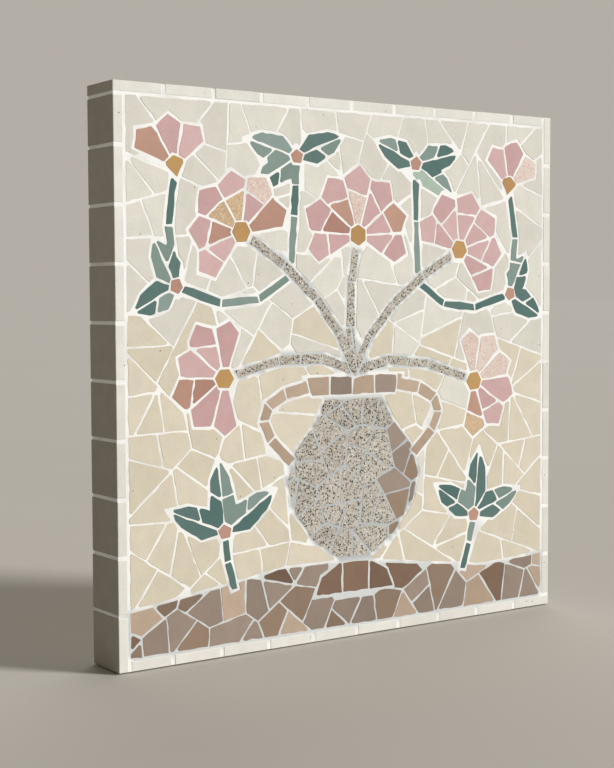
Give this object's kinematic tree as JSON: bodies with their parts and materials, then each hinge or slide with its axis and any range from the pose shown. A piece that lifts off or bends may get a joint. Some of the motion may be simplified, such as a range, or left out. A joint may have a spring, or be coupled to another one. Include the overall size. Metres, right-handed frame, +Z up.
{
  "type": "mosaic panel",
  "caption": "Square wall panel faced with hand-cut porcelain mosaic of a footed vase of flowers, its narrow sides faced with whole square tiles.",
  "frame": {"origin": "centre of the panel's flat back, where it meets the wall", "axes": "+Z up the picture, +X to the right as the picture is seen, +Y into the wall; the picture faces -Y"},
  "size_m": [0.254, 0.024, 0.254],
  "materials": {
    "backing_board": "sawn plywood, sealed",
    "background_porcelain": "unglazed porcelain in white cement grout, matte",
    "blossom_porcelain": "unglazed porcelain, matte, pinks and clay with ochre hearts",
    "speckled_porcelain": "unglazed speckled porcelain, matte, granite-like grains",
    "leaf_porcelain": "unglazed porcelain, matte, teal and sage",
    "tan_porcelain": "unglazed porcelain, matte, tan",
    "brown_porcelain": "unglazed porcelain, matte, dark brown",
    "ground_porcelain": "unglazed porcelain, matte, browns and taupe",
    "edge_porcelain": "unglazed porcelain tile, matte, off-white"
  },
  "bodies": {
    "root": {"backing_board": "backing_board", "mortar_and_paving": "background_porcelain", "flower_crown": "blossom_porcelain", "flower_left_high": "blossom_porcelain", "flower_right_high": "blossom_porcelain", "flower_left_low": "blossom_porcelain", "flower_right_low": "blossom_porcelain", "bud_left": "blossom_porcelain", "bud_right": "blossom_porcelain", "stems": "speckled_porcelain", "leaves_left_side": "leaf_porcelain", "leaves_right_side": "leaf_porcelain", "leaves_left_top": "leaf_porcelain", "leaves_right_top": "leaf_porcelain", "leaves_left_low": "leaf_porcelain", "leaves_right_low": "leaf_porcelain", "vase_rim_and_handles": "tan_porcelain", "vase_body": "speckled_porcelain", "vase_foot": "brown_porcelain", "ground": "ground_porcelain", "edge_top_1": "edge_porcelain", "edge_top_2": "edge_porcelain", "edge_top_3": "edge_porcelain", "edge_top_4": "edge_porcelain", "edge_top_5": "edge_porcelain", "edge_top_6": "edge_porcelain", "edge_top_7": "edge_porcelain", "edge_top_8": "edge_porcelain", "edge_top_9": "edge_porcelain", "edge_top_cut": "edge_porcelain", "edge_right_1": "edge_porcelain", "edge_right_2": "edge_porcelain", "edge_right_3": "edge_porcelain", "edge_right_4": "edge_porcelain", "edge_right_5": "edge_porcelain", "edge_right_6": "edge_porcelain", "edge_right_7": "edge_porcelain", "edge_right_8": "edge_porcelain", "edge_right_9": "edge_porcelain", "edge_right_cut": "edge_porcelain", "edge_bottom_1": "edge_porcelain", "edge_bottom_2": "edge_porcelain", "edge_bottom_3": "edge_porcelain", "edge_bottom_4": "edge_porcelain", "edge_bottom_5": "edge_porcelain", "edge_bottom_6": "edge_porcelain", "edge_bottom_7": "edge_porcelain", "edge_bottom_8": "edge_porcelain", "edge_bottom_9": "edge_porcelain", "edge_bottom_cut": "edge_porcelain", "edge_left_1": "edge_porcelain", "edge_left_2": "edge_porcelain", "edge_left_3": "edge_porcelain", "edge_left_4": "edge_porcelain", "edge_left_5": "edge_porcelain", "edge_left_6": "edge_porcelain", "edge_left_7": "edge_porcelain", "edge_left_8": "edge_porcelain", "edge_left_9": "edge_porcelain", "edge_left_cut": "edge_porcelain"}
  },
  "joints": []
}
